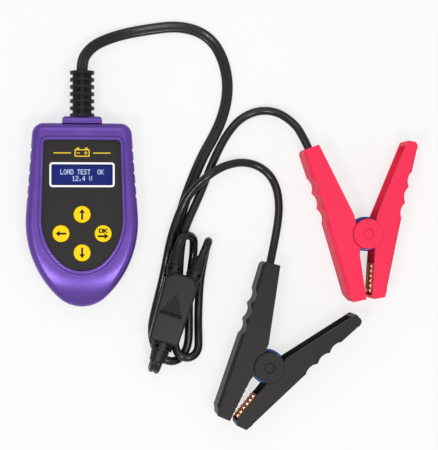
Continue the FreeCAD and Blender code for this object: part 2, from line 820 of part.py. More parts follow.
black_middle = [
    (72.6, -13.0, 8.8), (73.2, -23.4, 3.2), (71.6, -35.0, 3.0), (70.2, -47.0, 3.0), (69.9, -60.0, 3.0),
    (70.0, -72.0, 3.0), (69.9, -81.6, 3.0), (68.2, -89.0, 3.0), (64.0, -94.6, 3.4), (57.6, -96.2, 7.0),
    (51.0, -92.6, 7.2), (46.4, -84.6, 6.8), (45.2, -74.0, 4.0), (47.6, -62.4, 3.0), (50.6, -50.6, 3.0),
    (53.2, -39.4, 4.2), (55.2, -28.4, 6.8), (57.2, -17.8, 7.2), (60.0, -7.8, 7.2), (63.4, 1.6, 7.3),
    (67.4, 9.8, 8.2), (72.4, 16.8, 10.6), (78.6, 23.2, 13.6), (86.0, 28.8, 13.6), (94.6, 33.0, 9.6),
    (104.6, 35.2, 5.0), (115.0, 33.4, 3.2), (123.6, 27.4, 3.0), (128.4, 18.0, 3.8), (129.6, 6.6, 6.2),
    (128.2, -5.2, 9.4),
]


def route(start, middle, end):
    return start + [V(*p) for p in middle] + end


def lead_ends(name):
    place = clamp_places[name]
    outside = lead_entry + lead_axis * clamp_run
    return [place.multVec(outside), place.multVec(lead_entry - lead_axis * lead_inside)]


def tube(name, points, profile, section):
    path, radii = rounded_path(points)
    shape = swept(path, profile)
    print(name, "radii", [round(r, 1) for r in radii])
    share = shape.Volume / (section * path.Length)
    print(name, "length", round(path.Length, 1), "volume share", round(share, 4))
    return shape


def twin_profile(start):
    """The twin cable's section, square to +Y: two half rounds and the flats between them.

    It starts rolled, so that the turns of the route bring it flat on the floor.
    """
    half = (twin_width - twin_thick) / 2
    r = twin_thick / 2
    a, b = start + V(-half, 0, r), start + V(half, 0, r)
    c, d = start + V(half, 0, -r), start + V(-half, 0, -r)
    edges = [Part.LineSegment(a, b), Part.Arc(b, start + V(half + r, 0, 0), c),
             Part.LineSegment(c, d), Part.Arc(d, start + V(-half - r, 0, 0), a)]
    profile = Part.Wire([e.toShape() for e in edges])
    profile.rotate(start, V(0, 1, 0), twin_roll)
    return profile


save("front_shell", front_shell())
save("rear_shell", rear_shell())
save("face_overlay", face_overlay())
save("display_window", block(0, display_y, roof_z, window_width, window_height, face_plate))
panel_width = window_width + 2 * panel_margin
panel_height = window_height + 2 * panel_margin
save("lcd_panel", block(0, display_y, panel_z, panel_width, panel_height, panel_thick))
save("lcd_backlight", block(0, display_y, board_top_z, panel_width, panel_height, panel_z - board_top_z))
save("circuit_board", circuit_board())
save("switch_cases", switch_cases())
for side, (x, y) in keys.items():
    save("key_" + side, key(x, y))
    save("switch_plunger_" + side, plunger(x, y))
save("processor_chip", block(0, keys_centre_y, board_top_z, chip_size, chip_size, chip_thick))
resistor_z = board_z - resistor_height
save("load_resistor", block(0, resistor_y, resistor_z, resistor_length, resistor_width, resistor_height))
capacitor_foot = V(capacitor_x, capacitor_y, board_z - capacitor_height)
save("filter_capacitor", Part.makeCylinder(capacitor_radius, capacitor_height, capacitor_foot))
buzzer_foot = V(0, buzzer_y, board_z - buzzer_height)
save("buzzer", Part.makeCylinder(buzzer_radius, buzzer_height, buzzer_foot))
save("case_screws", case_screws())
save("inner_leads", inner_leads())
save("strain_relief", strain_relief())

box_low = box_z - box_thick / 2
box_high = box_z + box_thick / 2
inlet = boot(inlet_start, inlet_along, inlet_ring_radius, inlet_radius, inlet_end_radius, inlet_length)
junction = {
    "junction_upper_shell": box_half(box_z, box_high, box_z, box_high - box_wall),
    "junction_lower_shell": box_half(box_low, box_z, box_low + box_wall, box_z),
    "junction_crimps": junction_crimps(),
    "inlet_boot": inlet,
}
for side, (start, along) in outlets.items():
    sleeve = boot(start, along, outlet_ring_radius, outlet_radius, outlet_end_radius, outlet_length)
    junction["outlet_boot_" + side] = sleeve
for name, shape in junction.items():
    shape.Placement = box_place.multiply(shape.Placement)
    save(name, shape)

relief_end = V(0, relief_end_y, cable_z)
lead_section = math.pi * lead_diameter ** 2 / 4
twin_section = (twin_width - twin_thick) * twin_thick + math.pi * twin_thick ** 2 / 4
inlet_low = V(inlet_out.x, inlet_out.y, main_middle[-1][2])
main_points = route([relief_end], main_middle, [inlet_low, inlet_out, inlet_end])
save("main_cable", tube("main_cable", main_points, twin_profile(relief_end), twin_section))
leads = (("red", right_end, right_out, red_middle), ("black", left_end, left_out, black_middle))
for name, start, out, middle in leads:
    points = route([start, out], middle, lead_ends(name))
    profile = round_profile(lead_diameter / 2, start, out - start)
    save(name + "_lead", tube(name + "_lead", points, profile, lead_section))

for name, place in clamp_places.items():
    pieces = {
        "fixed_grip": fixed_grip(),
        "moving_grip": moving_grip(),
        "pivot_pin": pivot_pin(),
        "spring": clamp_spring(),
        "fixed_jaw": fixed_jaw(),
        "moving_jaw": moving_jaw(),
    }
    for piece, shape in pieces.items():
        shape.Placement = place.multiply(shape.Placement)
        save(name + "_" + piece, shape)
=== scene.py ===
import math
import bpy
import numpy as np
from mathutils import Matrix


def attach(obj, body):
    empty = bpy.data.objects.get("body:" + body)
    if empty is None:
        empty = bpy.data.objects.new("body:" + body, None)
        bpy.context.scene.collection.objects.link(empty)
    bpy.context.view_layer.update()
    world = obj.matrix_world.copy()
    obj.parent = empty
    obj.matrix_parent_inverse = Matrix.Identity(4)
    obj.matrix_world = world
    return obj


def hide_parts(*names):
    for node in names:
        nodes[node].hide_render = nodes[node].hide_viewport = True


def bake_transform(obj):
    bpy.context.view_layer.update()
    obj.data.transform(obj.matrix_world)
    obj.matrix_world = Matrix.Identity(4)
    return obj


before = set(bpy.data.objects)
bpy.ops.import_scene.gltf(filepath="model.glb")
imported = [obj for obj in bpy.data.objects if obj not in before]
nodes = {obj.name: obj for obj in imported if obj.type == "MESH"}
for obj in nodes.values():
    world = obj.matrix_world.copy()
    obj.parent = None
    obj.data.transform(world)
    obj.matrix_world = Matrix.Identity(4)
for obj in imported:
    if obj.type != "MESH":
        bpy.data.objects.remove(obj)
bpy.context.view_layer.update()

# Sizes are in mm and angles in degrees.
mm = 0.001
print("frame loaded")


class Sock:
    # A shader socket that takes part in sums. Each operator adds one Math node.
    def __init__(self, tree, out):
        self.tree = tree
        self.out = out

    def make(self, kind, settings, plugs, result=0):
        node = self.tree.nodes.new(kind)
        for key, value in settings.items():
            setattr(node, key, value)
        for key, value in plugs.items():
            self.plug(node.inputs[key], value)
        return Sock(self.tree, node.outputs[result])

    def plug(self, socket, value):
        if isinstance(value, Sock):
            self.tree.links.new(value.out, socket)
        else:
            socket.default_value = value

    def sums(self, operation, a, b):
        return self.make("ShaderNodeMath", {"operation": operation}, {0: a, 1: b})

    def __add__(self, other):
        return self.sums("ADD", self, other)

    def __radd__(self, other):
        return self.sums("ADD", other, self)

    def __mul__(self, other):
        return self.sums("MULTIPLY", self, other)

    def __rmul__(self, other):
        return self.sums("MULTIPLY", other, self)

    def noise(self, scale, detail):
        return self.make("ShaderNodeTexNoise", {}, {"Vector": self, "Scale": scale, "Detail": detail})

    def mix(self, a, b):
        return self.make("ShaderNodeMix", {"data_type": "RGBA"}, {0: self, 6: a, 7: b}, 2)

    def bump(self, strength, distance):
        return self.make("ShaderNodeBump", {}, {"Height": self, "Strength": strength, "Distance": distance})


drift = {
    "slow": 60.0, "slowDetail": 3.0, "fineDetail": 2.0, "share": 0.5,  # slow noise's share of the colour
    "depth": 0.0001, "coatRough": 0.2,  # depth of the grain in metres
}


def finish(name, dark, light, rough, spread=0.08, grain=1500.0, relief=0.1, metal=0.0, coat=0.0,
           glow=0.0, shine=0.3):
    # A moulded or metal finish: colour and roughness drift with a slow noise, and a fine one is its grain.
    mat = bpy.data.materials.new(name)
    mat.use_nodes = True
    tree = mat.node_tree
    shader = tree.nodes["Principled BSDF"]
    place = Sock(tree, tree.nodes.new("ShaderNodeTexCoord").outputs["Object"])
    slow = place.noise(drift["slow"], drift["slowDetail"])
    fine = place.noise(grain, drift["fineDetail"])
    colour = (slow * drift["share"] + fine * (1 - drift["share"])).mix((*dark, 1.0), (*light, 1.0))
    place.plug(shader.inputs["Base Color"], colour)
    place.plug(shader.inputs["Roughness"], slow * spread + fine * spread + (rough - spread))
    place.plug(shader.inputs["Normal"], fine.bump(relief, drift["depth"]))
    shader.inputs["Metallic"].default_value = metal
    shader.inputs["Specular IOR Level"].default_value = shine
    shader.inputs["Coat Weight"].default_value = coat
    shader.inputs["Coat Roughness"].default_value = drift["coatRough"]
    if glow:
        place.plug(shader.inputs["Emission Color"], colour)
        shader.inputs["Emission Strength"].default_value = glow
    return mat


def clear(name, haze=0.10):
    # Thin clear plastic: see-through, with a faint haze that drifts.
    mat = finish(name, (0.02, 0.03, 0.10), (0.03, 0.045, 0.14),
                 rough=0.12, spread=0.02, grain=400.0, relief=0.0, shine=0.2)
    mat.node_tree.nodes["Principled BSDF"].inputs["Alpha"].default_value = haze
    return mat


# Finishes: the two colours that a surface drifts between, then its roughness, grain and shine.
purple = finish("purple", (0.078, 0.029, 0.24), (0.155, 0.075, 0.40),
                rough=0.30, spread=0.06, grain=1300.0, relief=0.6, metal=0.5, coat=0.1, shine=0.35)
overlayBlack = finish("overlayBlack", (0.016, 0.0145, 0.014), (0.026, 0.0235, 0.023),
                      rough=0.5, spread=0.06, grain=2400.0, relief=0.1, shine=0.15)
windowClear = clear("windowClear")
displayBlue = finish("displayBlue", (0.010, 0.016, 0.15), (0.016, 0.024, 0.19),
                     rough=0.3, spread=0.03, grain=900.0, relief=0.0, glow=0.25, shine=0.05)
printWhite = finish("printWhite", (0.84, 0.84, 0.84), (0.93, 0.93, 0.93),
                    rough=0.5, spread=0.05, grain=1200.0, relief=0.05)
printYellow = finish("printYellow", (0.72, 0.50, 0.012), (0.84, 0.61, 0.02),
                     rough=0.45, spread=0.05, grain=1200.0, relief=0.05, shine=0.15)
# Black for the printed arrows and words, and also used as painted shade on the junction grip.
printAndShadeBlack = finish("printAndShadeBlack", (0.005, 0.005, 0.005), (0.010, 0.010, 0.010),
                    rough=0.5, spread=0.05, grain=1200.0, relief=0.05, shine=0.08)
textPale = finish("textPale", (0.45, 0.66, 0.85), (0.62, 0.80, 0.95),
                  rough=0.4, spread=0.05, grain=1200.0, relief=0.0, glow=0.5)
keyYellow = finish("keyYellow", (0.86, 0.57, 0.002), (0.95, 0.68, 0.006),
                   rough=0.42, spread=0.05, grain=1800.0, relief=0.08, shine=0.12)
boardGreen = finish("boardGreen", (0.010, 0.11, 0.04), (0.02, 0.18, 0.07),
                    rough=0.35, spread=0.05, grain=300.0, relief=0.1)
partBlack = finish("partBlack", (0.014, 0.014, 0.015), (0.030, 0.030, 0.031),
                   rough=0.5, spread=0.06, grain=1500.0, relief=0.1)
partWhite = finish("partWhite", (0.72, 0.71, 0.68), (0.86, 0.85, 0.82),
                   rough=0.6, spread=0.06, grain=700.0, relief=0.2)
steel = finish("steel", (0.50, 0.51, 0.53), (0.62, 0.63, 0.65),
               rough=0.32, spread=0.08, grain=900.0, relief=0.1, metal=1.0)
brass = finish("brass", (0.62, 0.48, 0.22), (0.74, 0.60, 0.30),
               rough=0.32, spread=0.08, grain=900.0, relief=0.1, metal=1.0)
coreRed = finish("coreRed", (0.42, 0.015, 0.015), (0.55, 0.03, 0.03),
                 rough=0.35, spread=0.05, grain=900.0, relief=0.05)
rubber = finish("rubber", (0.007, 0.008, 0.008), (0.015, 0.016, 0.016),
                rough=0.36, spread=0.06, grain=1500.0, relief=0.12, shine=0.2)
boxBlack = finish("boxBlack", (0.008, 0.008, 0.009), (0.016, 0.016, 0.017),
                  rough=0.36, spread=0.05, grain=2600.0, relief=0.16, shine=0.2)
cableBlack = finish("cableBlack", (0.005, 0.005, 0.006), (0.010, 0.011, 0.012),
                    rough=0.20, spread=0.05, grain=700.0, relief=0.05, shine=0.4)
gripRed = finish("gripRed", (0.80, 0.026, 0.076), (0.90, 0.040, 0.106),
                 rough=0.45, spread=0.05, grain=2200.0, relief=0.1, shine=0.08)
gripBlack = finish("gripBlack", (0.018, 0.017, 0.016), (0.028, 0.026, 0.025),
                   rough=0.42, spread=0.05, grain=2200.0, relief=0.12, shine=0.1)
# Lighter grey for the grip's small domes: a painted highlight on the box's black plastic.
dotHighlightGrey = finish("dotHighlightGrey", (0.030, 0.030, 0.031), (0.055, 0.055, 0.056),
                 rough=0.30, spread=0.05, grain=1500.0, relief=0.05)
springBlue = finish("springBlue", (0.006, 0.045, 0.23), (0.012, 0.085, 0.36),
                    rough=0.28, spread=0.06, grain=900.0, relief=0.06, metal=0.5, coat=0.3)
copper = finish("copper", (0.80, 0.34, 0.18), (0.97, 0.60, 0.40),
                rough=0.30, spread=0.10, grain=500.0, relief=0.3, metal=1.0)
print("materials made")

dress = (
    (purple, ["front_shell", "rear_shell"]),
    (overlayBlack, ["face_overlay"]),
    (windowClear, ["display_window"]),
    (displayBlue, ["lcd_panel"]),
    (partWhite, ["lcd_backlight", "load_resistor"]),
    (boardGreen, ["circuit_board"]),
    (partBlack, ["switch_cases", "processor_chip", "buzzer"]),
    (partBlack, ["switch_plunger_" + side for side in ("up", "down", "left", "right")]),
    (keyYellow, ["key_" + side for side in ("up", "down", "left", "right")]),
    (steel, ["case_screws", "filter_capacitor"]),
    (coreRed, ["inner_leads"]),
    (brass, ["junction_crimps"]),
    (rubber, ["strain_relief", "inlet_boot", "outlet_boot_left", "outlet_boot_right"]),
    (boxBlack, ["junction_upper_shell", "junction_lower_shell"]),
    (gripRed, ["red_fixed_grip", "red_moving_grip", "red_pivot_pin"]),
    (gripBlack, ["black_fixed_grip", "black_moving_grip", "black_pivot_pin"]),
    (copper, ["red_fixed_jaw", "red_moving_jaw", "black_fixed_jaw", "black_moving_jaw"]),
)
for mat, names in dress:
    for name in names:
        nodes[name].data.materials.clear()
        nodes[name].data.materials.append(mat)
print("CAD pieces dressed")


def meshObject(name, points, faces, mat, smooth=True):
    # The points and faces as they come, in a mesh of one material.
    mesh = bpy.data.meshes.new(name)
    mesh.from_pydata(points.tolist(), [], faces)
    mesh.update()
    mesh.polygons.foreach_set("use_smooth", [smooth] * len(mesh.polygons))
    mesh.materials.append(mat)
    obj = bpy.data.objects.new(name, mesh)
    bpy.context.scene.collection.objects.link(obj)
    return obj


def tubeMesh(name, centres, across, upward, profile, mat):
    # Ring i, corner j stands at centre i + profile x of j times across i + profile y of j times upward i.
    rings, corners = len(centres), len(profile)
    sideways = profile[None, :, :1] * across[:, None]
    grid = centres[:, None] + sideways + profile[None, :, 1:] * upward[:, None]
    points = np.vstack([grid.reshape(-1, 3), centres[:1], centres[-1:]])
    i, j = np.meshgrid(np.arange(rings - 1), np.arange(corners), indexing="ij")
    k = (j + 1) % corners
    quads = np.stack([i * corners + j, i * corners + k, (i + 1) * corners + k, (i + 1) * corners + j], -1)
    j = np.arange(corners)
    k = (j + 1) % corners
    first = np.stack([np.full(corners, rings * corners), k, j], -1)
    base = (rings - 1) * corners
    last = np.stack([np.full(corners, rings * corners + 1), base + j, base + k], -1)
    return meshObject(name, points, quads.reshape(-1, 4).tolist() + first.tolist() + last.tolist(), mat)


def slab(name, outline, low, high, mat):
    # A flat piece: the outline at two heights, with a face below, a face above and a wall round it.
    count = len(outline)
    points = np.vstack([np.c_[outline, np.full(count, low)], np.c_[outline, np.full(count, high)]]) * mm
    j = np.arange(count)
    k = (j + 1) % count
    walls = np.stack([j, k, k + count, j + count], -1).tolist()
    return meshObject(name, points, [j[::-1].tolist(), (j + count).tolist()] + walls, mat, False)


def bandOf(name, outer, inner, low, high, mat):
    # A flat ring between two outlines of equally many points, closed above, below and on both walls.
    count = len(outer)
    courses = ((outer, low), (outer, high), (inner, high), (inner, low))
    points = np.vstack([np.c_[loop, np.full(count, z)] for loop, z in courses]) * mm
    j = np.arange(count)
    k = (j + 1) % count
    faces = []
    for a in range(len(courses)):
        b = (a + 1) % len(courses)
        faces += np.stack([j + a * count, k + a * count, k + b * count, j + b * count], -1).tolist()
    return meshObject(name, points, faces, mat, False)


def dots(name, middles, wide, tall, low, high, mat):
    # Small square blocks, one at each middle: the eight corners of a block added to every middle.
    foot = np.array([[-1, -1, 0], [1, -1, 0], [1, 1, 0], [-1, 1, 0]])
    corner = np.vstack([foot, foot + [0, 0, 1]])
    step = np.array([wide / 2, tall / 2, high - low])
    centre = np.c_[middles, np.full(len(middles), low)]
    points = (centre[:, None] + corner[None] * step).reshape(-1, 3) * mm
    quads = np.array([[3, 2, 1, 0], [4, 5, 6, 7], [0, 1, 5, 4], [1, 2, 6, 5], [2, 3, 7, 6], [3, 0, 4, 7]])
    faces = (np.arange(len(middles))[:, None, None] * len(corner) + quads[None]).reshape(-1, 4)
    return meshObject(name, points, faces.tolist(), mat, False)


def roundedBox(wide, tall, radius, y, steps=8):
    # The outline of a box with round corners, anticlockwise, centred on x = 0.
    angle = np.linspace(0, math.pi / 2, steps)
    turn = np.concatenate([angle + q * math.pi / 2 for q in range(4)])
    side = np.repeat(np.array([[1, 1], [-1, 1], [-1, -1], [1, -1]]), steps, axis=0)
    middle = side * [wide / 2 - radius, tall / 2 - radius]
    return middle + np.c_[np.cos(turn), np.sin(turn)] * radius + [0, y]


def nurbs(name, points):
    # A smooth line that starts and ends at the outer points and is drawn towards the others.
    curve = bpy.data.curves.new(name, "CURVE")
    curve.dimensions = "3D"
    spline = curve.splines.new("NURBS")
    spline.points.add(len(points) - 1)
    spline.points.foreach_set("co", np.c_[np.array(points) * mm, np.ones(len(points))].ravel())
    spline.order_u = 3
    spline.use_endpoint_u = True
    curve.resolution_u = 12
    return curve


def readLine(curve):
    # The points of a bare curve, as Blender draws it.
    mesh = bpy.data.meshes.new_from_object(bpy.data.objects.new("line", curve))
    co = np.empty(len(mesh.vertices) * 3)
    mesh.vertices.foreach_get("co", co)
    return co.reshape(-1, 3)


def unit(v):
    # Each row divided by its own length.
    return v / np.linalg.norm(v, axis=-1, keepdims=True)


# Flat twin cable from the strain relief to the junction box: two cores with a groove between them.
mainCable = {
    "points": [
        (0, 92.9, 13), (0, 99.6, 13), (3.6, 106.2, 10.6), (9.4, 111.4, 8), (18, 115.6, 5.2),
        (29, 119.2, 3.2), (45, 122.4, 2.2), (62, 124.6, 2.1), (76.5, 121.6, 2.1), (86.4, 114.4, 2.1),
        (92.2, 104, 2.1), (95, 93.6, 2.1), (95.8, 83.4, 2.1), (94.4, 72.4, 2.1), (91, 61.4, 2.1),
        (86, 51, 2.1), (80.4, 41.4, 2.1), (75.2, 30, 2.1), (70, 17, 2.1), (65.4, 3.6, 2.1),
        (62.8, -9.8, 2.1), (61.6, -24, 2.1), (61.4, -39.4, 2.1), (59, -55.8, 2.1), (55.8, -72, 2.1),
        (52.2, -84.6, 2.1), (49.2, -93.4, 2.1), (46.3, -101, 2.1), (46.3, -101, 17), (48.3, -94.6, 17),
    ],
    "length": 0.3515, "diameter": 0.0073, "core": 1.85, "apart": 1.8, "waist": 1.3, "corners": 56,
    "exit": (0.0, 0.0929, 0.013), "foldY": -93.4,
}
line = readLine(nurbs("mainCableLine", mainCable["points"]))
ahead = unit(np.gradient(line, axis=0))
side = unit(np.cross(ahead, [0.0, 0.0, 1.0]))
turnAt = np.argmin(np.abs(line[:, 1] - mainCable["foldY"] * mm))
side[turnAt:] = side[turnAt]  # past here the cable folds back over itself, so its width keeps its direction
over = unit(np.cross(side, ahead))
# The section: half its width times the cosine across, and above that two circles joined by a waist.
angle = np.linspace(0, 2 * math.pi, mainCable["corners"], endpoint=False)
flat = (mainCable["apart"] + mainCable["core"]) * np.cos(angle)
lobe = np.sqrt(np.maximum(mainCable["core"] ** 2 - (np.abs(flat) - mainCable["apart"]) ** 2, 0))
high = np.where(np.abs(flat) < mainCable["apart"], np.maximum(lobe, mainCable["waist"]), lobe)
profile = np.c_[flat, np.sign(np.sin(angle)) * high] * mm
mainTube = tubeMesh("mainCable", line, side, over, profile, cableBlack)
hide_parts("main_cable")
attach(mainTube, "tester")

# Round leads from the junction box to the clamps.
redLead = {
    "points": [
        (77.2, -27.6, 17), (82.1, -16.6, 17), (82.4, -17.4, 3), (79.6, -29.8, 3), (77.2, -44, 3),
        (76.4, -58, 3), (76.1, -70, 3), (76.2, -79.4, 4.4), (76, -88.4, 7.2), (71.6, -93, 9.5),
        (65.4, -93.2, 9.5), (60.9, -88.8, 8), (60.4, -80.8, 7.2), (61, -71, 7.2), (62.2, -56, 7.2),
        (63.2, -40, 7.2), (63.9, -25, 7.2), (65.8, -12.6, 7.2), (70, -1.6, 7.2), (75.2, 9.6, 6.8),
        (79.8, 20.4, 5.2), (84.2, 31.4, 3.2), (89.2, 42.6, 3), (95.8, 54.6, 3), (104.2, 64.2, 3),
        (115.6, 69.4, 3.8), (127.2, 68.6, 6.6), (136.6, 62.6, 10), (143.8, 54.1, 12), (151.4, 36.7, 12),
    ],
    "name": "redLead", "node": "red_lead", "length": 0.3403, "diameter": 0.0055,
}
blackLead = {
    "points": [
        (61.7, -22.8, 17), (63.4, -13.5, 17), (72.6, -13, 8.8), (73.2, -23.4, 3.2), (71.6, -35, 3),
        (70.2, -47, 3), (69.9, -60, 3), (70, -72, 3), (69.9, -81.6, 3), (68.2, -89, 3), (64, -94.6, 3.4),
        (57.6, -96.2, 7), (51, -92.6, 7.2), (46.4, -84.6, 6.8), (45.2, -74, 4), (47.6, -62.4, 3),
        (50.6, -50.6, 3), (53.2, -39.4, 4.2), (55.2, -28.4, 6.8), (57.2, -17.8, 7.2), (60, -7.8, 7.2),
        (63.4, 1.6, 7.3), (67.4, 9.8, 8.2), (72.4, 16.8, 10.6), (78.6, 23.2, 13.6), (86, 28.8, 13.6),
        (94.6, 33, 9.6), (104.6, 35.2, 5), (115, 33.4, 3.2), (123.6, 27.4, 3), (128.4, 18, 3.8),
        (129.6, 6.6, 6.2), (128.2, -5.2, 9.4), (125, -20.6, 12), (121.1, -39.2, 12),
    ],
    "name": "blackLead", "node": "black_lead", "length": 0.3638, "diameter": 0.0055,
}
for lead in (redLead, blackLead):
    curve = nurbs(lead["name"], lead["points"])
    curve.bevel_depth = lead["diameter"] / 2
    curve.bevel_resolution = 7
    curve.use_fill_caps = True
    curve.materials.append(cableBlack)
    obj = bpy.data.objects.new(lead["name"], curve)
    bpy.context.scene.collection.objects.link(obj)
    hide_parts(lead["node"])
    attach(obj, "tester")
print("cable and leads laid")

# Torsion springs: a straight leg, a coil round the pin that climbs one pitch a turn, and a second leg.
spring = {
    "wire": 1.1, "radius": 10.2, "pitch": 2.75, "first": 207.0, "sweep": 1193.0, "middle": 12.0,
    "legOne": 24.9, "legTwo": 16.4, "legStart": 0.3,
    "coilSteps": 300, "legOneSteps": 24, "legTwoSteps": 18, "corners": 16,
    "clamps": (("red", 185.9, -12.2, 12.0), ("black", 120.8, -99.0, -23.5)),  # pin x, pin y, lean
}
turned = np.radians(spring["first"] + np.linspace(0, spring["sweep"], spring["coilSteps"]))
climb = spring["pitch"] / (2 * math.pi)
startZ = spring["middle"] - climb * math.radians(spring["sweep"]) / 2
zeros = np.zeros_like(turned)
radial = np.stack([np.cos(turned), np.sin(turned), zeros], -1)
heading = unit(np.stack([-np.sin(turned), np.cos(turned), zeros + climb / spring["radius"]], -1))
coil = radial * spring["radius"] + np.stack([zeros, zeros, startZ + climb * (turned - turned[0])], -1)
ones, twos = spring["legOneSteps"], spring["legTwoSteps"]
legOne = coil[0] - heading[0] * np.linspace(spring["legOne"], spring["legStart"], ones)[:, None]
legTwo = coil[-1] + heading[-1] * np.linspace(spring["legStart"], spring["legTwo"], twos)[:, None]
course = np.vstack([legOne, coil, legTwo])
ways = np.vstack([np.repeat(heading[:1], ones, 0), heading, np.repeat(heading[-1:], twos, 0)])
outs = np.vstack([np.repeat(radial[:1], ones, 0), radial, np.repeat(radial[-1:], twos, 0)])
ups = unit(np.cross(ways, outs))
angle = np.linspace(0, 2 * math.pi, spring["corners"], endpoint=False)
ring = np.c_[np.cos(angle), np.sin(angle)] * spring["wire"]
for name, px, py, lean in spring["clamps"]:
    c, s = math.cos(math.radians(lean)), math.sin(math.radians(lean))
    turn = np.array([[c, s, 0], [-s, c, 0], [0, 0, 1]])
    centre = (course @ turn + [px, py, 0]) * mm
    obj = tubeMesh(name + "Spring", centre, ups @ turn, outs @ turn, ring * mm, springBlue)
    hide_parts(name + "_spring")
    low = (px * mm, py * mm, startZ * mm)
    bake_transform(obj)
print("springs wound")

# White printed border round the display, and the pale letters on the display itself.
border = {
    "y": 25.7, "wide": 41.5, "tall": 15.8, "band": 1.2, "radius": 2.0, "innerRadius": 0.9,
    "low": 23.2, "high": 23.24,
}
outer = roundedBox(border["wide"], border["tall"], border["radius"], border["y"])
clearWide, clearTall = border["wide"] - 2 * border["band"], border["tall"] - 2 * border["band"]
inner = roundedBox(clearWide, clearTall, border["innerRadius"], border["y"])
obj = bandOf("displayBorder", outer, inner, border["low"], border["high"], printWhite)
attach(obj, "tester")

glyphs = {
    "L": "10000 10000 10000 10000 10000 10000 11111", "O": "01110 10001 10001 10001 10001 10001 01110",
    "A": "01110 10001 10001 11111 10001 10001 10001", "D": "11110 10001 10001 10001 10001 10001 11110",
    "T": "11111 00100 00100 00100 00100 00100 00100", "E": "11111 10000 10000 11110 10000 10000 11111",
    "S": "01111 10000 10000 01110 00001 00001 11110", "K": "10001 10010 10100 11000 10100 10010 10001",
    "1": "00100 01100 00100 00100 00100 00100 01110", "2": "01110 10001 00001 00110 01000 10000 11111",
    "4": "00010 00110 01010 10010 11111 00010 00010", "V": "10001 10001 10001 10001 10001 01010 00100",
    ".": "00000 00000 00000 00000 00000 01100 01100", " ": "00000 00000 00000 00000 00000 00000 00000",
}


def letters(text, x, y, across, down):
    # The middles of the lit dots of a centred line of five by seven letters, one dot apart.
    step, midRow = 6, 3
    rows = np.array([[[int(d) for d in row] for row in glyphs[letter].split()] for letter in text])
    at, row, col = np.nonzero(rows)
    left = x - (step * len(text) - 2) * across / 2
    return np.c_[left + (step * at + col) * across, y + (midRow - row) * down]


reading = {
    "lines": (("LOAD TEST  OK", 27.6), ("12.4 V", 23.4)), "across": 0.36, "down": 0.46,
    "wide": 0.33, "tall": 0.42, "low": 20.8, "high": 20.83,
}
lit = np.vstack([letters(text, 0.0, y, reading["across"], reading["down"]) for text, y in reading["lines"]])
obj = dots("displayLetters", lit, reading["wide"], reading["tall"], reading["low"], reading["high"],
           textPale)
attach(obj, "tester")

# A plain battery sign in the place above the display.
sign = {
    "y": 39.6, "wide": 9.6, "tall": 4.8, "line": 0.7, "radius": 0.6, "innerRadius": 0.2, "barRadius": 0.1,
    "low": 23.2, "high": 23.24,
}
outer = roundedBox(sign["wide"], sign["tall"], sign["radius"], sign["y"])
clearWide, clearTall = sign["wide"] - 2 * sign["line"], sign["tall"] - 2 * sign["line"]
inner = roundedBox(clearWide, clearTall, sign["innerRadius"], sign["y"])
obj = bandOf("signCase", outer, inner, sign["low"], sign["high"], printYellow)
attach(obj, "tester")
bars = {  # x, y, width and height of each bar
    "signPosts": [(-2.7, 42.5, 1.9, 1.0), (2.7, 42.5, 1.9, 1.0)],
    "signMarks": [(-2.4, 39.6, 2.0, 0.6), (2.4, 39.6, 2.0, 0.6),
                  (2.4, 40.35, 0.6, 0.9), (2.4, 38.85, 0.6, 0.9)],
    "signRules": [(-12.6, 39.6, 11.0, 0.7), (12.6, 39.6, 11.0, 0.7)],
}
for name, blocks in bars.items():
    for i, (x, y, wide, tall) in enumerate(blocks):
        bar = roundedBox(wide, tall, sign["barRadius"], y) + [x, 0]
        obj = slab(name + str(i), bar, sign["low"], sign["high"], printYellow)
        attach(obj, "tester")

# Black arrows on the keys, and a word on the right one. Each moves with its key.
arrow = {
    "half": 3.4, "shaft": 0.6, "barb": 1.85, "head": 2.5, "low": 23.7, "high": 23.74,
    "keys": (("up", 0, 0.4, 0), ("left", -13.4, -11.9, 90),  # key, x, y and turn
             ("down", 0, -24.2, 180), ("right", 13.4, -13.6, 270)),
}
neck = arrow["half"] - arrow["head"]
shape = np.array([
    (0, arrow["half"]), (-arrow["barb"], neck), (-arrow["shaft"], neck), (-arrow["shaft"], -arrow["half"]),
    (arrow["shaft"], -arrow["half"]), (arrow["shaft"], neck), (arrow["barb"], neck),
])
for key, x, y, angle in arrow["keys"]:
    c, s = math.cos(math.radians(angle)), math.sin(math.radians(angle))
    turnedShape = shape @ np.array([[c, s], [-s, c]]) + [x, y]
    obj = slab("arrow_" + key, turnedShape, arrow["low"], arrow["high"], printAndShadeBlack)
    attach(obj, key + "_key")
keyWord = {"text": "OK", "x": 13.4, "y": -10.1, "across": 0.48, "down": 0.38, "wide": 0.86, "tall": 0.62}
word = letters(keyWord["text"], keyWord["x"], keyWord["y"], keyWord["across"], keyWord["down"])
obj = dots("keyWord", word, keyWord["wide"], keyWord["tall"], arrow["low"], arrow["high"], printAndShadeBlack)
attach(obj, "right_key")
print("print and legends placed")

# Dotted finger grip on the junction box: rows of small domes in a lighter grey, which is painted highlight
# on the black plastic, on a darker field, which is painted shade of the recess, and a dark bar at the base.
grip = {
    "x": 58.7, "y": -60.5, "lean": -17.0, "top": 23.5, "apex": (-1.0, 8.4), "rows": 8, "pitch": 1.62,
    "rowStep": 0.9, "spot": 0.62, "rise": 0.4, "corners": 12, "rings": (0.0, 30.0, 60.0),
    "bar": (15.0, 1.5, 0.5, -4.2), "barRise": 0.5,  # width, height, corner and y
    "shadeField": ((-1.0, 10.2), (-8.4, -3.4), (6.4, -3.4)), "shadeFieldRise": 0.06,
}
c, s = math.cos(math.radians(grip["lean"])), math.sin(math.radians(grip["lean"]))
lean = np.array([[c, s], [-s, c]])
onBox = [grip["x"], grip["y"]]
row = np.concatenate([np.full(i + 1, i) for i in range(grip["rows"])])
col = np.concatenate([np.arange(i + 1) for i in range(grip["rows"])])
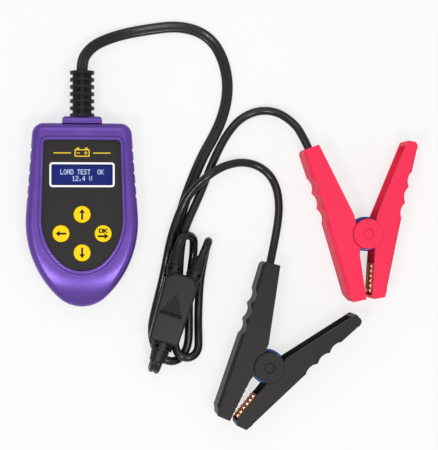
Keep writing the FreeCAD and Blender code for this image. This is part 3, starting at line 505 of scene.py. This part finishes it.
spotX = grip["apex"][0] + (col - row / 2) * grip["pitch"]
spotY = grip["apex"][1] - row * grip["pitch"] * grip["rowStep"]
spots = np.c_[spotX, spotY] @ lean + onBox
# A dome: rings of a quarter circle from its foot to its crown, added to every spot.
count = grip["corners"]
around = np.linspace(0, 2 * math.pi, count, endpoint=False)
steps = np.radians(grip["rings"])
wideness = np.cos(steps) * grip["spot"]
domeZ = np.outer(np.sin(steps), np.ones(count)) * grip["rise"]
dome = np.stack([np.outer(wideness, np.cos(around)), np.outer(wideness, np.sin(around)), domeZ], -1)
dome = np.vstack([dome.reshape(-1, 3), [0, 0, grip["rise"]], [0, 0, 0]])
j = np.arange(count)
k = (j + 1) % count
lastRing = (len(steps) - 1) * count
wall = np.stack([j, k, count + k, count + j], -1)
walls = np.concatenate([wall + r * count for r in range(len(steps) - 1)])
crown = np.stack([lastRing + j, lastRing + k, np.full(count, len(dome) - 2)], -1)
sole = np.stack([k, j, np.full(count, len(dome) - 1)], -1)
caps = np.concatenate([crown, sole])
points = (np.c_[spots, np.full(len(spots), grip["top"])][:, None] + dome[None]).reshape(-1, 3) * mm
offset = np.arange(len(spots))[:, None, None] * len(dome)
faces = (offset + walls[None]).reshape(-1, 4).tolist() + (offset + caps[None]).reshape(-1, 3).tolist()
obj = meshObject("junctionDots", points, faces, dotHighlightGrey)
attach(obj, "tester")
bar = (roundedBox(*grip["bar"]) + [grip["apex"][0], 0]) @ lean + onBox
obj = slab("junctionBar", bar, grip["top"], grip["top"] + grip["barRise"], printAndShadeBlack)
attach(obj, "tester")
# A thin darker sheet under the domes: painted shade of the recessed grip.
shadeField = np.array(grip["shadeField"]) @ lean + onBox
obj = slab("junctionShadeField", shadeField, grip["top"], grip["top"] + grip["shadeFieldRise"], printAndShadeBlack)
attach(obj, "tester")
print("junction grip placed")

# A pale floor. To the camera it is part lamp, which pales its shadows and keeps it white.
stage = {"half": 3.0, "z": -0.0002, "glow": 0.955, "glowShare": 0.72}
half, low = stage["half"], stage["z"]
corners = [(-half, -half, low), (half, -half, low), (half, half, low), (-half, half, low)]
mesh = bpy.data.meshes.new("floor")
mesh.from_pydata(corners, [], [(0, 1, 2, 3)])
floor = bpy.data.objects.new("floor", mesh)
floorWhite = finish("floorWhite", (0.90, 0.90, 0.90), (0.93, 0.93, 0.93),
                    rough=0.9, spread=0.02, grain=200.0, relief=0.0, shine=0.0)
tree = floorWhite.node_tree
ray = Sock(tree, tree.nodes.new("ShaderNodeLightPath").outputs["Is Camera Ray"])
glowing = ray.make("ShaderNodeEmission", {}, {"Color": (1.0, 1.0, 1.0, 1.0), "Strength": stage["glow"]})
plain = Sock(tree, tree.nodes["Principled BSDF"].outputs[0])
both = ray.make("ShaderNodeMixShader", {}, {0: ray * stage["glowShare"], 1: plain, 2: glowing})
ray.plug(tree.nodes["Material Output"].inputs["Surface"], both)
mesh.materials.append(floorWhite)
bpy.context.scene.collection.objects.link(floor)

# White surroundings and three soft lights overhead: two give the chin its highlights, one is behind.
lighting = {
    "world": 0.62, "aim": (0.09, 0.0, 0.0),
    "lamps": {  # place, size and power
        "left": ((-0.21, -0.24, 0.80), 0.14, 1.7), "right": ((0.21, -0.24, 0.80), 0.14, 1.7),
        "top": ((0.0, 0.45, 0.85), 0.5, 1.2),
    },
}
world = bpy.data.worlds.new("world")
bpy.context.scene.world = world
world.use_nodes = True
world.node_tree.nodes["Background"].inputs["Color"].default_value = (1.0, 1.0, 1.0, 1.0)
world.node_tree.nodes["Background"].inputs["Strength"].default_value = lighting["world"]
for name, (spot, size, power) in lighting["lamps"].items():
    lamp = bpy.data.lights.new(name, "AREA")
    lamp.size = size
    lamp.energy = power
    obj = bpy.data.objects.new(name, lamp)
    obj.location = spot
    aim = np.array(lighting["aim"]) - np.array(spot)
    tilt = math.acos(-aim[2] / np.linalg.norm(aim))
    obj.rotation_euler = (tilt, 0, math.atan2(aim[1], aim[0]) - math.pi / 2)
    bpy.context.scene.collection.objects.link(obj)

# The camera stands above the tester and turns to the middle of the whole.
view = {
    "x": 0.0902, "y": -0.0064, "over": 0.0, "height": 0.9,
    "half": 0.149, "sensor": 24.0,  # half the picture's height at the middle
}
away = view["x"] - view["over"]
lens = bpy.data.cameras.new("camera")
lens.sensor_fit = "VERTICAL"
lens.sensor_height = view["sensor"]
lens.lens = view["sensor"] / 2 * math.hypot(view["height"], away) / view["half"]
camera = bpy.data.objects.new("camera", lens)
camera.location = (view["over"], view["y"], view["height"])
camera.rotation_euler = (0, -math.atan2(away, view["height"]), 0)
bpy.context.scene.collection.objects.link(camera)
bpy.context.scene.camera = camera
bpy.context.scene.view_settings.view_transform = "Standard"
print("stage set")
